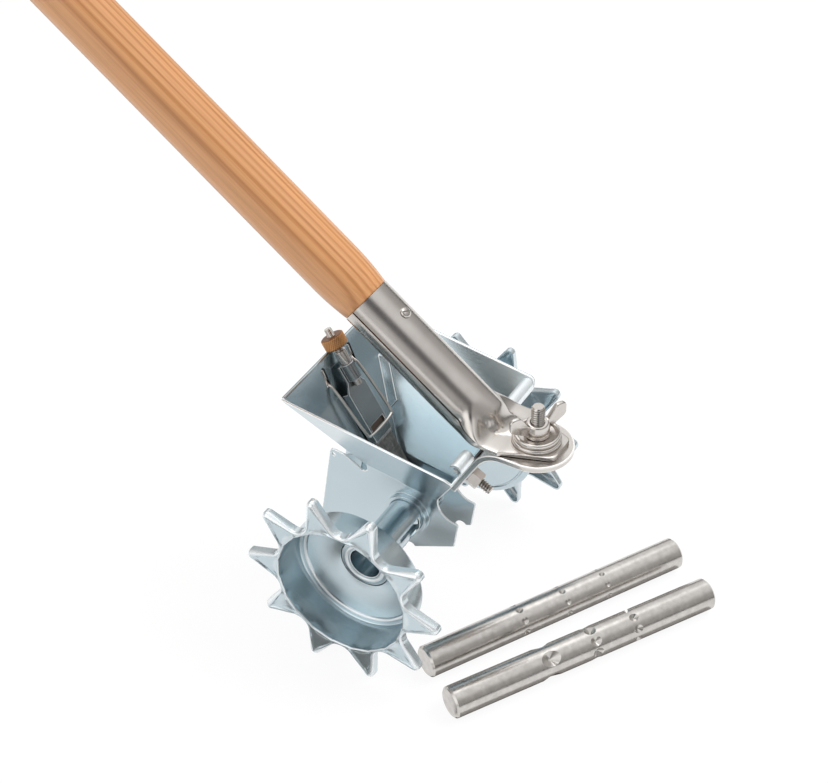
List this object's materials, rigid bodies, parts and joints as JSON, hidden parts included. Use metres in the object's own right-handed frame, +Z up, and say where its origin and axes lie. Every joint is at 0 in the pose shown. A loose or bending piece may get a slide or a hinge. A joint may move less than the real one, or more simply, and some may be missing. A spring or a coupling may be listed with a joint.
{
  "type": "walk-behind seed planter",
  "caption": "Hand-pushed single-row seed planter: sheet hopper over a furrow boot, toothed pan wheels, adjustable brush, wooden pole handle and interchangeable metering rods.",
  "frame": {"origin": "middle of the axle, in the empty bore of the wheel sleeves that takes a metering rod", "axes": "+X towards the handle bracket, +Y along the axle, +Z up; the planter stands on its wheels"},
  "size_m": [1.2656, 0.1913, 0.9856],
  "materials": {
    "zinc_sheet": "bright zinc plate",
    "plated_steel": "plated steel",
    "rod_steel": "bright zinc plate",
    "pole_wood": "oiled",
    "knob_brass": "knurled",
    "brush_wood": "plain",
    "bristle": "matte"
  },
  "bodies": {
    "frame": {"side_sheet_near": "zinc_sheet", "side_sheet_far": "zinc_sheet", "brush_wall": "zinc_sheet", "bracket_wall": "zinc_sheet", "furrow_nose": "zinc_sheet", "handle_bracket": "zinc_sheet", "bracket_bolts": "plated_steel", "bracket_nuts": "plated_steel", "pivot_bolt": "plated_steel"},
    "near_wheel": {"wheel_near": "zinc_sheet", "sleeve_near": "zinc_sheet"},
    "far_wheel": {"wheel_far": "zinc_sheet", "sleeve_far": "zinc_sheet"},
    "handle": {"handle_socket": "plated_steel", "handle_pole": "pole_wood", "socket_screw": "plated_steel", "clamp_washer": "plated_steel", "cup_washer": "plated_steel"},
    "wing": {"wing_nut": "plated_steel"},
    "brush": {"brush_carrier": "plated_steel", "brush_stud": "plated_steel", "brush_spacer": "plated_steel", "brush_back": "brush_wood", "brush_bristles": "bristle"},
    "knob": {"brush_knob": "knob_brass"},
    "bail": {"brush_bail": "plated_steel"},
    "fine_rod": {"seed_rod_fine": "rod_steel"},
    "coarse_rod": {"seed_rod_coarse": "rod_steel"}
  },
  "joints": [
    {"name": "near_wheel_spin", "type": "hinge", "parent": "frame", "child": "near_wheel", "pos_m": [0, 0, 0], "axis": [0, 1, 0], "continuous": true},
    {"name": "far_wheel_spin", "type": "hinge", "parent": "frame", "child": "far_wheel", "pos_m": [0, 0, 0], "axis": [0, 1, 0], "continuous": true},
    {"name": "handle_swing", "type": "hinge", "parent": "frame", "child": "handle", "pos_m": [0.078, 0, 0.0795], "axis": [0, 0, 1], "range_deg": [-180, 180]},
    {"name": "wing_nut_turn", "type": "hinge", "parent": "frame", "child": "wing", "pos_m": [0.078, 0, 0.09], "axis": [0, 0, 1], "range_deg": [-180, 180]},
    {"name": "brush_knob_turn", "type": "hinge", "parent": "frame", "child": "knob", "pos_m": [-0.05405, 0, 0.09599], "axis": [-0.5373, 0, 0.8434], "range_deg": [-900, 900]},
    {"name": "brush_slide", "type": "slide", "parent": "frame", "child": "brush", "axis": [-0.5373, 0, 0.8434], "range_m": [-0.002, 0.002]},
    {"name": "bail_lift", "type": "hinge", "parent": "frame", "child": "bail", "pos_m": [-0.0538, 0, 0.07968], "axis": [0, -1, 0], "range_deg": [0, 15]},
    {"name": "fine_rod_lift", "type": "slide", "parent": "frame", "child": "fine_rod", "axis": [0, 0, 1], "range_m": [0, 0.03]},
    {"name": "coarse_rod_lift", "type": "slide", "parent": "frame", "child": "coarse_rod", "axis": [0, 0, 1], "range_m": [0, 0.03]}
  ],
  "couplings": [
    {"joint": "brush_knob_turn", "follows": "brush_slide", "rad_per_m": -7854}
  ]
}
